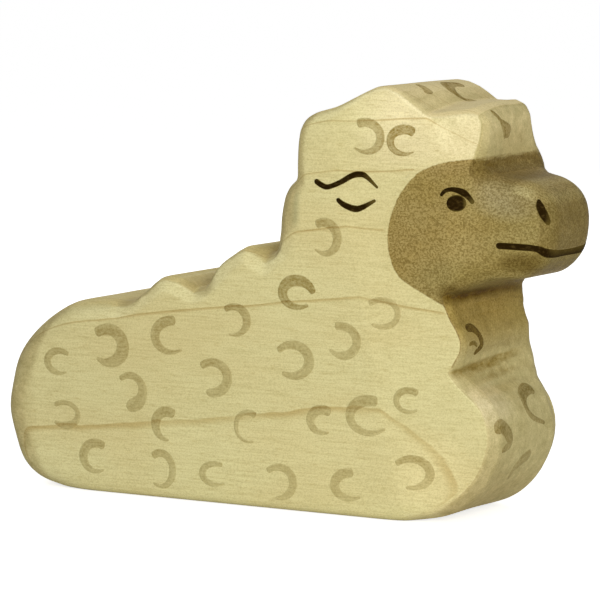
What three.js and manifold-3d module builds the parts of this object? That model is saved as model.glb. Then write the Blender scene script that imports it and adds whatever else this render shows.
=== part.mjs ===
// A lamb lying down: one piece of pale board, sawn to an outline, rounded by hand and painted.
// Millimetres, +Z up, +X towards the nose, -Y on the lamb's right side, standing on z = 0.

import * as THREE from "three";
import { mergeVertices } from "three/addons/utils/BufferGeometryUtils.js";
import Module from "manifold-3d";

// The main sizes, and the widths that the head is planed down to
const LENGTH = 102.7; // from the tail to the nose
const HEIGHT = 70.8; // from the base to the crown
const HEAD_LENGTH = 50.4; // from the foot of the nape to the nose
const HEAD_HEIGHT = 33.5; // from the throat to the crown
const BOARD_THICKNESS = 28;
const BROW_WIDTH = 26;
const FOREHEAD_WIDTH = 19.5;
const NOSE_WIDTH = 18.4;

// The sawn outline. It runs from the base round the tail, the back, the head and the chest, and each
// run ends in a notch or crease where the next one starts.

// Rump and back, measured from the foot of the tail end as [forwards, up]. The last notch is at the foot of
// the nape, and the trunk is drawn out to where the head leaves that.
const BASE_REAR = [11.7, 0];
const RUMP = [[6.3, 1.4], [2.3, 6], [0, 14.7], [4.2, 25.7], [11.7, 31.8], [18.7, 33.4]];
const RUMP_NOTCH = [23.2, 33.2];
const MIDDLE_BACK = [[27.7, 34.8], [31.1, 37.5], [33.7, 38.2], [36.2, 37.4]];
const BACK_NOTCH = [38.7, 36.3];
const WITHERS = [[41.9, 38.6], [45.8, 42.3], [49, 44]];
const WITHERS_NOTCH = [52.3, 42.9];

// Back of the head, measured from the level of the crown over the foot of the nape
const NAPE = [[1.7, -25.5], [2, -21.4], [3.3, -17.3]];
const NAPE_NOTCH = [5.9, -15.2];
const BACK_OF_HEAD = [[6.2, -11.3], [6.9, -6.8], [9.4, -4.5]];

// Front of the head, measured from the level of the crown over the tip of the nose
const CROWN = [[-34, -2.3], [-28.5, 0], [-24.5, -0.5]];
const CROWN_NOTCH = [-20, -2.9];
const FORELOCK = [[-16.5, -2.6], [-13.5, -2.4], [-11.7, -4], [-11.2, -7.3]];
const BROW_CREASE = [-11.5, -12.2];
const MUZZLE = [[-10, -13.8], [-4.5, -14.8], [-1, -17.4], [0, -21.8]];
const JAW = [[-1.3, -27], [-5.5, -29.6], [-12, -31.3]];
const THROAT_CREASE_RIGHT = [-16.6, -HEAD_HEIGHT];
const THROAT_CREASE_LEFT = [-15, -HEAD_HEIGHT];

// Neck and chest, measured from the ground under the tip of the nose, for a throat at this height
const THROAT_LEVEL = 37.3;
const NECK = [[-15.5, 34.2], [-13.6, 31], [-13.4, 28.6]];
const CHEST_NOTCH_RIGHT = [-15.1, 25.2];
const CHEST_NOTCH_LEFT = [-13, 26];
const CHEST = [[-12.3, 22.8], [-9.1, 19.7], [-7.7, 15], [-9, 9.4], [-12.3, 4.7], [-17.5, 1.2]];
const BASE_FRONT = [-24, 0];

// The radius that each run's edges are rounded to
const BASE_EDGE = 1.8;
const RUMP_EDGE = 3.8;
const BACK_EDGE = 2.6;
const NAPE_EDGE = 4.5;
const CROWN_EDGE = 1.8;
const FORELOCK_EDGE = 2.4;
const MUZZLE_EDGE = 4;
const NECK_EDGE = 2.4;
const CHEST_EDGE = 4;

// Where the facets of an edge meet, in degrees from the sawn face to the side face: sanded round all the
// way, or only broken, so that a corner stays
const ROUND = [0, 30, 60, 90];
const BROKEN = [0, 40, 46, 90];

// Paint. The films are drawn thicker than paint is, so that they are solids.
const PAINT_FILM = 0.2;
const PAINT_GAP = 0.05; // clearance under a film

// Marks on the face, measured as the front of the head is. The stain's edge runs from the forehead over the
// cheek to the neck, and the mouth runs on past the nose, so that it goes round the muzzle.
const STAIN_EDGE = [
  [-11, -9.8], [-17.5, -11.8], [-22, -14.4], [-25.4, -19.3], [-26.4, -24.8], [-24.6, -30.1], [-20.5, -33.5],
  [-15, -36.3],
];
const PUPIL = [-14.6, -17.5];
const PUPIL_RADIUS = 1.4;
const EYELID = [[-17.4, -17.3], [-15.7, -16], [-13.7, -16], [-12, -18.2]];
const EYELID_STROKE = 0.95;
const NOSTRIL = [[-2.3, -17.4], [-1.5, -19], [-0.9, -21.1]];
const NOSTRIL_STROKE = 1.2;
const MOUTH = [[-8.4, -24.9], [-4.1, -25.2], [-1.3, -25.7], [9, -26.1]];
const MOUTH_STROKE = 1.05;
const EAR_UPPER = [[-40.1, -15.3], [-37.6, -16.2], [-33.5, -14.5], [-31, -14.1], [-28.5, -16.2]];
const EAR_LOWER = [[-36, -18.3], [-32.9, -19.9], [-29, -18.2]];
const EAR_STROKE = 0.95;

// The wool: curls of a pressed brush, each with the place of its middle, the side that it is open to and
// its height. They are measured as the back, the chest and the front of the head are.
const CURL_STRETCH = 1.2; // length of a curl for its height
const CURL_START = 50; // degrees from the open side
const CURL_SWEEP = 255;
const CURL_STROKE = 1.5;
const CURL_TIP = 0.6;
const FRONT = 1;
const REAR = -1;
const BACK_CURLS_RIGHT = [
  [12.3, 22.1, FRONT, 4.3], [21.4, 25.5, REAR, 6], [35.1, 27.8, FRONT, 5.5], [46.7, 31.3, REAR, 5],
  [25.9, 18.2, REAR, 5.4], [42.4, 21.5, REAR, 5.4], [12.6, 13.1, REAR, 4.4], [34.2, 12.7, FRONT, 5],
  [50.2, 13.6, FRONT, 5.2], [19.8, 6.1, FRONT, 5.2], [32, 5, REAR, 6], [43.7, 5.1, FRONT, 4],
];
const CHEST_CURLS_RIGHT = [
  [-42.9, 36.5, FRONT, 4.8], [-44.8, 25.4, REAR, 5.5], [-35.4, 29.1, REAR, 5.2], [-28.1, 34.1, REAR, 4.8],
  [-47.5, 4.8, REAR, 5.4], [-38.3, 15.6, FRONT, 4.3], [-29.4, 16.9, FRONT, 5.6], [-22.5, 20, FRONT, 4],
  [-33.1, 5.2, FRONT, 4.6], [-22.5, 8.3, REAR, 5],
];
const HEAD_CURLS_RIGHT = [[-38.8, -24.9, REAR, 5.4], [-31.3, -8.2, REAR, 5.1], [-23.5, -8.7, FRONT, 4.4]];
const BACK_CURLS_LEFT = [
  [13.7, 22.5, FRONT, 5], [27.2, 26, REAR, 5.4], [42.7, 29, FRONT, 4.8], [10.2, 11, REAR, 4.6],
  [21.2, 14, FRONT, 5.4], [35.7, 17, REAR, 5], [50.7, 20.5, FRONT, 5.4], [29.7, 5.8, FRONT, 4.8],
  [46.7, 7.5, REAR, 5.4],
];
const CHEST_CURLS_LEFT = [
  [-45.5, 34.5, REAR, 5.2], [-38.5, 25, REAR, 4.8], [-27.5, 31.5, FRONT, 5.2], [-40, 11, FRONT, 5],
  [-24.5, 15.5, REAR, 5.2],
];
const HEAD_CURLS_LEFT = [[-38.5, -24.3, FRONT, 5], [-27.5, -7.8, FRONT, 5]];

// Strokes on the front, as [from the board's right face, up], and on the crown, as [forwards, from the
// board's right face]
const RIGHT_FACE = -BOARD_THICKNESS / 2;
const BRUSH_STROKE = 1.6;
const BRUSH_TIP = 0.7;
const NECK_CURL = [[3.9, 32.3], [6.5, 32.1], [8.2, 29.7], [5.7, 27.8]];
const CHEST_CURL = [[20.9, 20.5], [16.5, 21], [14.8, 19.4], [17.9, 15.9], [22, 15.8]];
const BREAST_CURL = [[2.5, 16.1], [4.4, 17], [7.5, 14.7], [4.5, 12.5]];
const BREAST_STROKE = [[16.5, 10.1], [13.9, 9.3], [12.3, 6.4]];
const FOREHEAD_STROKE = [[9.2, -4.8], [10.4, -6.2], [12.5, -8.1]];
const CROWN_STROKE = [[-26.1, 6.6], [-24.8, 7.9], [-24.1, 9.2]];
const CROWN_CURL = [[-23.4, 20.9], [-24.8, 19.2], [-24.4, 16.6], [-21, 16.4]];

const OUTLINE_STEP = 2; // spacing of the points that the outline is drawn with
const EDGE_BLEND = 3; // passes that even the radius out where two runs meet
const STROKE_STEP = 1.2; // spacing of the points that a brush stroke is drawn with

const RIGHT = -1;
const LEFT = 1;

const wasm = await Module();
wasm.setup();

const curveThrough = (places) => new THREE.SplineCurve(places.map(([a, b]) => new THREE.Vector2(a, b)));

// The places that the sizes are measured from, and the stretch of the drawing there
const stretchX = (LENGTH - HEAD_LENGTH) / WITHERS_NOTCH[0];
const stretchZ = (HEIGHT - HEAD_HEIGHT) / THROAT_LEVEL;
const measured = (originX, originZ, scaleX, scaleZ) => (points) =>
  points.map(([x, z, ...rest]) => [originX + scaleX * x, originZ + scaleZ * z, ...rest]);
const fromTail = measured(-LENGTH / 2, 0, stretchX, stretchZ);
const fromNape = measured(LENGTH / 2 - HEAD_LENGTH, HEIGHT, 1, 1);
const fromHead = measured(LENGTH / 2, HEIGHT, 1, 1);
const fromChest = measured(LENGTH / 2, 0, 1, stretchZ);

// The runs of the outline on one side of the board. The groove under the neck is cut deeper on the right.
function outlineRuns(side) {
  const throatCrease = side === RIGHT ? THROAT_CREASE_RIGHT : THROAT_CREASE_LEFT;
  const chestNotch = side === RIGHT ? CHEST_NOTCH_RIGHT : CHEST_NOTCH_LEFT;
  const crownFront = fromHead([...CROWN, CROWN_NOTCH]);
  return {
    base: [BASE_EDGE, ROUND, [...fromChest([BASE_FRONT]), ...fromTail([BASE_REAR])]],
    rump: [RUMP_EDGE, ROUND, fromTail([BASE_REAR, ...RUMP, RUMP_NOTCH])],
    middle_back: [BACK_EDGE, BROKEN, fromTail([RUMP_NOTCH, ...MIDDLE_BACK, BACK_NOTCH])],
    withers: [BACK_EDGE, BROKEN, fromTail([BACK_NOTCH, ...WITHERS, WITHERS_NOTCH])],
    nape: [NAPE_EDGE, ROUND, [...fromTail([WITHERS_NOTCH]), ...fromNape([...NAPE, NAPE_NOTCH])]],
    crown: [CROWN_EDGE, BROKEN, [...fromNape([NAPE_NOTCH, ...BACK_OF_HEAD]), ...crownFront]],
    forelock: [FORELOCK_EDGE, BROKEN, fromHead([CROWN_NOTCH, ...FORELOCK, BROW_CREASE])],
    muzzle: [MUZZLE_EDGE, ROUND, fromHead([BROW_CREASE, ...MUZZLE, ...JAW, throatCrease])],
    neck: [NECK_EDGE, BROKEN, [...fromHead([throatCrease]), ...fromChest([...NECK, chestNotch])]],
    chest: [CHEST_EDGE, BROKEN, fromChest([chestNotch, ...CHEST, BASE_FRONT])],
  };
}

// Points along the outline of one side: outward normal, edge radius, edge shape and, where the rounding
// ends, the corner of the flat side face.
function outlinePoints(side) {
  const points = [];
  const rightRuns = outlineRuns(RIGHT);
  for (const [run, [edge, shape, corners]] of Object.entries(outlineRuns(side))) {
    const steps = Math.round(curveThrough(rightRuns[run].at(-1)).getLength() / OUTLINE_STEP);
    const places = curveThrough(corners).getSpacedPoints(steps);
    for (const at of places.slice(0, -1)) points.push({ run, at, edge, shape });
  }
  const next = (i, by) => points[(i + points.length + by) % points.length];
  let edges = points.map((point) => point.edge);
  for (let pass = 0; pass < EDGE_BLEND; pass++) {
    edges = edges.map((edge, i) => (edges.at(i - 1) + 2 * edge + edges[(i + 1) % edges.length]) / 4);
  }
  return points.map(({ run, at, shape }, i) => {
    const arriving = at.clone().sub(next(i, -1).at).normalize();
    const leaving = next(i, 1).at.clone().sub(at).normalize();
    const along = arriving.add(leaving).normalize();
    const normal = new THREE.Vector2(-along.y, along.x);
    const edge = edges[i];
    return { run, normal, edge, shape, flat: at.clone().addScaledVector(normal, -edge) };
  });
}

const outlines = { [RIGHT]: outlinePoints(RIGHT), [LEFT]: outlinePoints(LEFT) };
const count = outlines[RIGHT].length;
const firstOf = (run) => outlines[RIGHT].findIndex((point) => point.run === run);
const crownNotch = firstOf("forelock");
const browCrease = firstOf("muzzle");
const throatCrease = firstOf("neck");
const cornersBetween = (from, to) => Array.from({ length: to - from + 1 }, (_, k) => (from + k) % count);

// The flat facets of a side face: the torso, and three that the head is planed down to.
const FACETS = [
  cornersBetween(throatCrease, crownNotch + count),
  cornersBetween(crownNotch, browCrease),
  [crownNotch, browCrease, throatCrease],
  cornersBetween(browCrease, throatCrease),
];

// Half of the width at any place of the plane through three corners of a side face.
function planeThrough(...corners) {
  const places = corners.map(([at, halfWidth]) => new THREE.Vector3(at.x, at.y, halfWidth));
  const { normal, constant } = new THREE.Plane().setFromCoplanarPoints(...places);
  return (at) => -(normal.x * at.x + normal.y * at.y + constant) / normal.z;
}

// Half of the width of the body at each point of an outline.
function halfWidths(points) {
  const foremost = (run) =>
    points.filter((p) => p.run === run).reduce((best, p) => (p.flat.x > best.flat.x ? p : best)).flat;
  const crown = [points[crownNotch].flat, BOARD_THICKNESS / 2];
  const throat = [points[throatCrease].flat, BOARD_THICKNESS / 2];
  const brow = [points[browCrease].flat, BROW_WIDTH / 2];
  const forehead = [points[Math.round((crownNotch + browCrease) / 2)].flat, FOREHEAD_WIDTH / 2];
  const nose = [foremost("muzzle"), NOSE_WIDTH / 2];
  const forelockPlane = planeThrough(crown, brow, forehead);
  const muzzlePlane = planeThrough(brow, throat, nose);
  return points.map(({ run, flat }) => {
    if (run === "forelock") return forelockPlane(flat);
    if (run === "muzzle") return muzzlePlane(flat);
    return BOARD_THICKNESS / 2;
  });
}

// The carved body, or the same body grown outwards by a film of paint.
function bodyGeometry(grow) {
  const rings = [];
  for (const side of [RIGHT, LEFT]) {
    const points = outlines[side];
    const widths = halfWidths(points);
    const fromRight = (k) => (side === RIGHT ? ROUND.length - 1 - k : k);
    for (let k = 0; k < ROUND.length; k++) {
      const ring = points.map(({ flat, normal, edge, shape }, i) => {
        const turn = THREE.MathUtils.degToRad(shape[fromRight(k)]);
        const p = flat.clone().addScaledVector(normal, (edge + grow) * Math.cos(turn));
        return [p.x, side * (widths[i] - edge + (edge + grow) * Math.sin(turn)), p.y];
      });
      rings.push(ring);
    }
  }
  const index = [];
  for (let r = 0; r + 1 < rings.length; r++) {
    for (let i = 0; i < count; i++) {
      const [a, b] = [r * count + i, r * count + ((i + 1) % count)];
      index.push(a, b, a + count, b, b + count, a + count);
    }
  }
  for (const facet of FACETS) {
    for (const ring of [0, rings.length - 1]) {
      const corners = facet.map((i) => new THREE.Vector2(rings[ring][i][0], rings[ring][i][2]));
      for (const [a, b, c] of THREE.ShapeUtils.triangulateShape(corners, [])) {
        const [p, q, r] = [a, b, c].map((v) => ring * count + facet[v]);
        index.push(...(ring === 0 ? [p, q, r] : [p, r, q]));
      }
    }
  }
  const geometry = new THREE.BufferGeometry();
  geometry.setAttribute("position", new THREE.Float32BufferAttribute(rings.flat(2), 3));
  geometry.setIndex(index);
  return geometry;
}

// A closed geometry as a solid that can be joined and cut.
function solidFrom(geometry) {
  const bare = new THREE.BufferGeometry();
  bare.setAttribute("position", geometry.getAttribute("position"));
  bare.setIndex(geometry.index);
  const merged = mergeVertices(bare);
  return new wasm.Manifold(
    new wasm.Mesh({
      numProp: 3,
      vertProperties: merged.getAttribute("position").array,
      triVerts: new Uint32Array(merged.index.array),
    }),
  );
}

const grownBodies = new Map();

// The body grown outwards, made once for each film.
function grownBody(grow) {
  if (!grownBodies.has(grow)) grownBodies.set(grow, solidFrom(bodyGeometry(grow)));
  return grownBodies.get(grow);
}

// The outline of a brush stroke along a path: wide where the brush is pressed, narrow where it lifts.
function brushStroke(path, startWidth, middleWidth, endWidth) {
  const steps = Math.ceil(path.getLength() / STROKE_STEP);
  const upper = [];
  const lower = [];
  for (let k = 0; k <= steps; k++) {
    const share = k / steps;
    const width =
      share < 0.5
        ? THREE.MathUtils.lerp(startWidth, middleWidth, 2 * share)
        : THREE.MathUtils.lerp(middleWidth, endWidth, 2 * share - 1);
    const at = path.getPointAt(share);
    const along = path.getTangentAt(share);
    const across = new THREE.Vector2(-along.y, along.x).multiplyScalar(width / 2);
    upper.push(at.clone().add(across));
    lower.unshift(at.clone().sub(across));
  }
  const first = path.getPointAt(0).addScaledVector(path.getTangentAt(0), -startWidth / 3);
  const last = path.getPointAt(1).addScaledVector(path.getTangentAt(1), endWidth / 3);
  return new THREE.Shape([first, ...upper, last, ...lower]);
}

// The path of a wool curl: from the top over the closed side and round to the bottom.
function curlPath([x, z, opens, height]) {
  const radius = height / 2;
  const start = THREE.MathUtils.degToRad(CURL_START);
  const end = start + THREE.MathUtils.degToRad(CURL_SWEEP);
  const [from, to] = opens === FRONT ? [start, end] : [Math.PI - start, Math.PI - end];
  return new THREE.EllipseCurve(x, z, CURL_STRETCH * radius, radius, from, to, opens === REAR);
}

const axis = { x: new THREE.Vector3(1, 0, 0), y: new THREE.Vector3(0, 1, 0), z: new THREE.Vector3(0, 0, 1) };
const ON_SIDE = new THREE.Matrix4().makeBasis(axis.x, axis.z, axis.y.clone().negate());
const ON_FRONT = new THREE.Matrix4().makeBasis(axis.y, axis.z, axis.x);
const ON_CROWN = new THREE.Matrix4();

// A prism over a shape that is drawn on the side, the front or the crown.
function prism(shape, face, from, depth) {
  const geometry = new THREE.ExtrudeGeometry(shape, { depth, bevelEnabled: false, curveSegments: 6 });
  return solidFrom(geometry.translate(0, 0, from).applyMatrix4(face));
}

// The prisms start inside the body and end outside it.
const [[insideChest]] = fromChest([BASE_FRONT]);
const [[, insideHead]] = fromNape([NAPE_NOTCH]);
const onRight = (shape) => prism(shape, ON_SIDE, 0, BOARD_THICKNESS);
const onLeft = (shape) => prism(shape, ON_SIDE, -BOARD_THICKNESS, BOARD_THICKNESS);
const onBothSides = (shape) => prism(shape, ON_SIDE, -BOARD_THICKNESS, 2 * BOARD_THICKNESS);
const onFront = (shape) => prism(shape, ON_FRONT, insideChest, BOARD_THICKNESS);
const onCrown = (shape) => prism(shape, ON_CROWN, insideHead, BOARD_THICKNESS);

const ON_WOOD = 0;
const ON_STAIN = PAINT_GAP + PAINT_FILM;

// A film of paint where the prism meets the body, on the wood or on the stain.
function film(name, region, under, material) {
  const inner = under + PAINT_GAP;
  const solid = grownBody(inner + PAINT_FILM).intersect(region).subtract(grownBody(inner));
  const { vertProperties, triVerts } = solid.getMesh();
  const geometry = new THREE.BufferGeometry();
  geometry.setAttribute("position", new THREE.Float32BufferAttribute(vertProperties, 3));
  geometry.setIndex([...triVerts]);
  geometry.computeVertexNormals();
  const mesh = new THREE.Mesh(geometry, material);
  mesh.name = name;
  return mesh;
}

const wood = new THREE.MeshStandardMaterial({ color: 0xd8c88e, roughness: 0.6, metalness: 0 });
const stain = new THREE.MeshStandardMaterial({ color: 0x968455, roughness: 0.65, metalness: 0 });
const darkPaint = new THREE.MeshStandardMaterial({ color: 0x33261a, roughness: 0.55, metalness: 0 });
const woolPaint = new THREE.MeshStandardMaterial({ color: 0xae9960, roughness: 0.6, metalness: 0 });

const body = new THREE.Mesh(bodyGeometry(0), wood);
body.name = "wooden_body";

// Face: the stain first, then the dark marks.
const onHead = (points) => curveThrough(fromHead(points));
const stainEdge = onHead(STAIN_EDGE);
const stainPoints = stainEdge.getSpacedPoints(Math.round(stainEdge.getLength() / OUTLINE_STEP));
const aheadOfNose = LENGTH / 2 + BOARD_THICKNESS;
const stainShape = new THREE.Shape([
  ...stainPoints,
  new THREE.Vector2(aheadOfNose, stainPoints.at(-1).y),
  new THREE.Vector2(aheadOfNose, stainPoints[0].y),
]);
const mouthShape = brushStroke(onHead(MOUTH), MOUTH_STROKE, MOUTH_STROKE, MOUTH_STROKE);
const lidShape = brushStroke(onHead(EYELID), EYELID_STROKE / 2, EYELID_STROKE, EYELID_STROKE / 2);
const [[pupilX, pupilZ]] = fromHead([PUPIL]);
const pupilShape = new THREE.Shape().absarc(pupilX, pupilZ, PUPIL_RADIUS, 0, 2 * Math.PI);
const nostrilShape = brushStroke(onHead(NOSTRIL), NOSTRIL_STROKE / 3, NOSTRIL_STROKE, NOSTRIL_STROKE / 3);
const upperEar = brushStroke(onHead(EAR_UPPER), EAR_STROKE / 2, EAR_STROKE, EAR_STROKE / 2);
const lowerEar = brushStroke(onHead(EAR_LOWER), EAR_STROKE / 2, EAR_STROKE, EAR_STROKE / 2);
const face = [
  film("face_stain", onBothSides(stainShape), ON_WOOD, stain),
  film("mouth_line", onBothSides(mouthShape), ON_STAIN, darkPaint),
];
for (const [side, onSide] of [["right", onRight], ["left", onLeft]]) {
  face.push(
    film(`eye_${side}`, onSide(lidShape).add(onSide(pupilShape)), ON_STAIN, darkPaint),
    film(`nostril_${side}`, onSide(nostrilShape), ON_STAIN, darkPaint),
    film(`ear_upper_${side}`, onSide(upperEar), ON_WOOD, darkPaint),
    film(`ear_lower_${side}`, onSide(lowerEar), ON_WOOD, darkPaint),
  );
}

// Wool: curls on both sides, then the strokes on the front and the crown.
const wool = [];
const CURLS = [
  ["right", onRight, BACK_CURLS_RIGHT, CHEST_CURLS_RIGHT, HEAD_CURLS_RIGHT],
  ["left", onLeft, BACK_CURLS_LEFT, CHEST_CURLS_LEFT, HEAD_CURLS_LEFT],
];
for (const [side, onSide, onBack, onChest, onFace] of CURLS) {
  const curls = [...fromTail(onBack), ...fromChest(onChest), ...fromHead(onFace)];
  curls.forEach((curl, i) => {
    const shape = brushStroke(curlPath(curl), CURL_STROKE, CURL_STROKE, CURL_TIP);
    wool.push(film(`wool_curl_${side}_${i + 1}`, onSide(shape), ON_WOOD, woolPaint));
  });
}
const acrossChest = measured(RIGHT_FACE, 0, 1, stretchZ);
const acrossForehead = measured(RIGHT_FACE, HEIGHT, 1, 1);
const acrossCrown = measured(LENGTH / 2, RIGHT_FACE, 1, 1);
const STROKES = [
  ["wool_curl_neck", onFront, acrossChest, NECK_CURL],
  ["wool_curl_chest", onFront, acrossChest, CHEST_CURL],
  ["wool_curl_breast", onFront, acrossChest, BREAST_CURL],
  ["wool_stroke_breast", onFront, acrossChest, BREAST_STROKE],
  ["wool_stroke_forehead", onFront, acrossForehead, FOREHEAD_STROKE],
  ["wool_stroke_crown", onCrown, acrossCrown, CROWN_STROKE],
  ["wool_curl_crown", onCrown, acrossCrown, CROWN_CURL],
];
for (const [name, onFace, across, points] of STROKES) {
  const shape = brushStroke(curveThrough(across(points)), BRUSH_STROKE, BRUSH_STROKE, BRUSH_TIP);
  wool.push(film(name, onFace(shape), ON_WOOD, woolPaint));
}

const group = (name, ...members) => {
  const made = new THREE.Group();
  made.name = name;
  return made.add(...members);
};

// The stain makes the nose end a little longer, so the figure is set back to the middle of its length.
const figure = group("figure", body, group("face", ...face), group("wool", ...wool));
const box = new THREE.Box3().setFromObject(figure);
figure.position.x = -(box.min.x + box.max.x) / 2;

export default group("wooden_lamb", figure);
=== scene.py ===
import math

import bmesh
import bpy
import numpy as np
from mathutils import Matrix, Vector, noise


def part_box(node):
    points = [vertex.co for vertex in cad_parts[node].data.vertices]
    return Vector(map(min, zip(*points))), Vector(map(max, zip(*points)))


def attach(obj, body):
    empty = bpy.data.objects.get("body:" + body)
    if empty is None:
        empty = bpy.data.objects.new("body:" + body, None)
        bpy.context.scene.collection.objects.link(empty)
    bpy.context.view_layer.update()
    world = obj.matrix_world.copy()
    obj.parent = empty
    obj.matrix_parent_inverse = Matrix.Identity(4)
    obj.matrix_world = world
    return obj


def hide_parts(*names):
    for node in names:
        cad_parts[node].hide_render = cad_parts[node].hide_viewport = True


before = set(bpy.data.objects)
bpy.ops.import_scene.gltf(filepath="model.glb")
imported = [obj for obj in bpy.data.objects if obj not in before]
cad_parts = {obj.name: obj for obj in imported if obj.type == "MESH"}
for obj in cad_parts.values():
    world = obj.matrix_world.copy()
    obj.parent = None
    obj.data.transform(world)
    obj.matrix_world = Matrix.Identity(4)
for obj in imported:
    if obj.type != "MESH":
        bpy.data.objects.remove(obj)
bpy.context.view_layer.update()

# Wooden body
# One pale, close-grained board with its grain along the lamb, sawn to the outline. The edges are broken and
# the shoulders and cheeks eased towards the front with sandpaper, and the wood is bare under the paint.
MM = 0.001
BOARD_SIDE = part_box("wooden_body")[1].y / MM  # half of the board's thickness
SAME_POINT = 0.005  # corners of the sawn shape that lie closer than this are one
GRAIN_OF_SANDING = 0.36  # spacing of the mesh's points while it is shaped
LIGHT_SANDING = 2  # smoothing passes over the back, the crown and the chest, which stay crisp
WELL_SANDING = 10  # smoothing passes over the rounded rump, nape, muzzle and foot edge
LONG_SANDING = 220  # smoothing passes over the temple, which runs on into the forelock without an edge
SHARE_OF_FACES = 0.58  # faces kept once the shape is done
EASED_FROM = 27.0  # where the easing of the sides starts, at the ground
EASED_LEAN = 0.2  # how far that start leans back for each millimetre up
EASED_SLOPE = 0.11
EASED_MOST_CHEST = 2.2
EASED_MOST_HEAD = 0.9
HEAD_LEVEL = (38.0, 48.0)  # where the chest's easing turns into the head's
# Zones of the sanding, in millimetres along (X), across (Y) and up (Z): where each begins or ends
FOOT_END_Z = (4, 7)
RUMP_END_X = (-34, -28)
NAPE_END_X = (11, 14)
NAPE_START_Z = (43.5, 46.5)
MUZZLE_START_X = (42, 45)
MUZZLE_START_Z = (38, 41)
MUZZLE_END_Z = (57, 60)
TEMPLE_START_X = (18, 24)
TEMPLE_END_X = (36.5, 38.5)
TEMPLE_START_Z = (52, 57)
TEMPLE_START_Y = (6, 8)
TEMPLE_TURNS_UP = (0.2, 0.45)  # it ends where the wood turns up to the crown
CROWN_LEAN = 1.2  # how far the crown comes down at its right edge
LEAN_START_X = (22.5, 29)
LEAN_END_X = (38, 42)
LEAN_START_Z = (60, 68)
LEAN_START_Y = (0, 13)
HAND_WAVE = 0.07  # unevenness left by hand sanding
HAND_WAVE_LENGTH = 11.0
HAND_WAVE_START_Z = (0.5, 2)  # the base stays flat
# Where the hand took more or less wood: along, up, size of the place, height, on the left only or not
TOUCHES = [
    (14.0, 67.0, 3.2, -0.5, False),
    (37.6, 24.0, 3.6, 0.9, True),
    (42.0, 17.5, 3.6, -0.8, True),
    (35.6, 34.8, 2.4, 0.85, True),
    (36.3, 28.0, 3.0, -0.4, True),
    (38.8, 58.6, 2.6, 0.6, True),
    (46.0, 41.4, 3.4, 0.8, False),
    (-26.0, 33.5, 1.8, -0.5, False),
    (-10.5, 36.6, 1.6, -0.8, False),
    (2.3, 43.4, 1.6, -0.8, False),
    (-8.0, 40.0, 2.4, 0.5, False),
    (-49.0, 22.0, 4.5, 0.7, False),
    (-51.0, 13.5, 4.0, 0.3, False),
    (-48.0, 5.0, 4.5, 0.75, False),
    (37.0, 3.0, 6.0, 0.5, True),
    (39.4, 57.0, 2.4, 0.6, True),
    (37.8, 64.0, 3.0, -0.5, True),
    (16.0, 69.0, 8.0, 0.5, False),
    (28.0, 70.0, 6.0, 0.35, False),
]
TOUCHED_LEFT_Y = (-3, 11)
# What counts as a crease: smoothing passes that level it, and its full depth, first narrow and then broad
NARROW_CREASE = (28, 0.18)
BROAD_CREASE = (80, 0.55)
CREASES_END_Z = (60.0, 62.0)  # there are none on the crown
CREASES_START_X = (-4, 6)  # and none on the back
GROOVE_LEVEL = 24.8  # the groove between neck and breast, darker towards the right
GROOVE_SPREAD = 2.6
GROOVE_FACING = (0.05, 0.25)
GROOVE_TAKES_OVER = 0.6  # share of the crease's darkening that the groove's own darkening replaces
GROOVE_DARK = 0.45
GROOVE_RIGHT_Y = (-8, 10)
GROOVE_DARKEST = (2.0, 8.0)  # a darker place on it: its place across and its reach
BROW_LESS_DARK = 0.5  # the far part of the brow crease is less darkened
BROW_START_Z = (50, 54)
BROW_FAR_Y = (-10, -3)
NECK_RIM_LESS_DARK = 0.85  # and so are the rounded rims of the neck
NECK_RIM_FACING = (0.5, 0.85)
NECK_RIM_START_X = (30, 32)
NECK_RIM_START_Z = (26, 28)
NECK_RIM_END_Z = (37, 40)


def blank_object(name, mesh):
    piece = bpy.data.objects.new(name, mesh)
    bpy.context.scene.collection.objects.link(piece)
    return piece


def settle(piece):
    """Turns a piece and its modifiers into a plain mesh, and takes the modifiers off."""
    evaluated = piece.evaluated_get(bpy.context.evaluated_depsgraph_get())
    mesh = bpy.data.meshes.new_from_object(evaluated)
    piece.modifiers.clear()
    piece.data = mesh
    return piece


def points_of(mesh, what="co"):
    values = np.empty(len(mesh.vertices) * 3, np.float32)
    mesh.vertices.foreach_get(what, values)
    return values.reshape(-1, 3).astype(float)


def put_points(mesh, points):
    mesh.vertices.foreach_set("co", points.astype(np.float32).ravel())
    mesh.update()


def point_values(mesh, name, values):
    layer = mesh.attributes.new(name, "FLOAT", "POINT")
    layer.data.foreach_set("value", values.astype(np.float32))


def shade_smooth(mesh):
    mesh.polygons.foreach_set("use_smooth", np.ones(len(mesh.polygons), bool))


def ramp(values, low, high):
    """0 below low, 1 above high, and a soft step between them."""
    share = np.clip((values - low) / (high - low), 0, 1)
    return share * share * (3 - 2 * share)


def neighbour_mean(mesh, values, passes, share=1.0):
    """Averages values over neighbouring points, pass by pass and by each point's own share."""
    ends = np.empty(len(mesh.edges) * 2, np.int32)
    mesh.edges.foreach_get("vertices", ends)
    a, b = ends.reshape(-1, 2).T
    count = len(mesh.vertices)
    links = np.bincount(a, minlength=count) + np.bincount(b, minlength=count)
    share = np.reshape(share, (-1, 1)) / 2
    for _ in range(passes):
        sums = [np.bincount(a, column[b], count) + np.bincount(b, column[a], count) for column in values.T]
        values = values + share * (np.stack(sums, 1) / links[:, None] - values)
    return values


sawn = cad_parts["wooden_body"].data.copy()
merged = bmesh.new()
merged.from_mesh(sawn)
bmesh.ops.remove_doubles(merged, verts=merged.verts, dist=SAME_POINT * MM)
merged.to_mesh(sawn)
merged.free()
body = blank_object("lamb_body", sawn)
sanding = body.modifiers.new("sanding", "REMESH")
sanding.mode = "VOXEL"
sanding.voxel_size = GRAIN_OF_SANDING * MM
settle(body)

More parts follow.
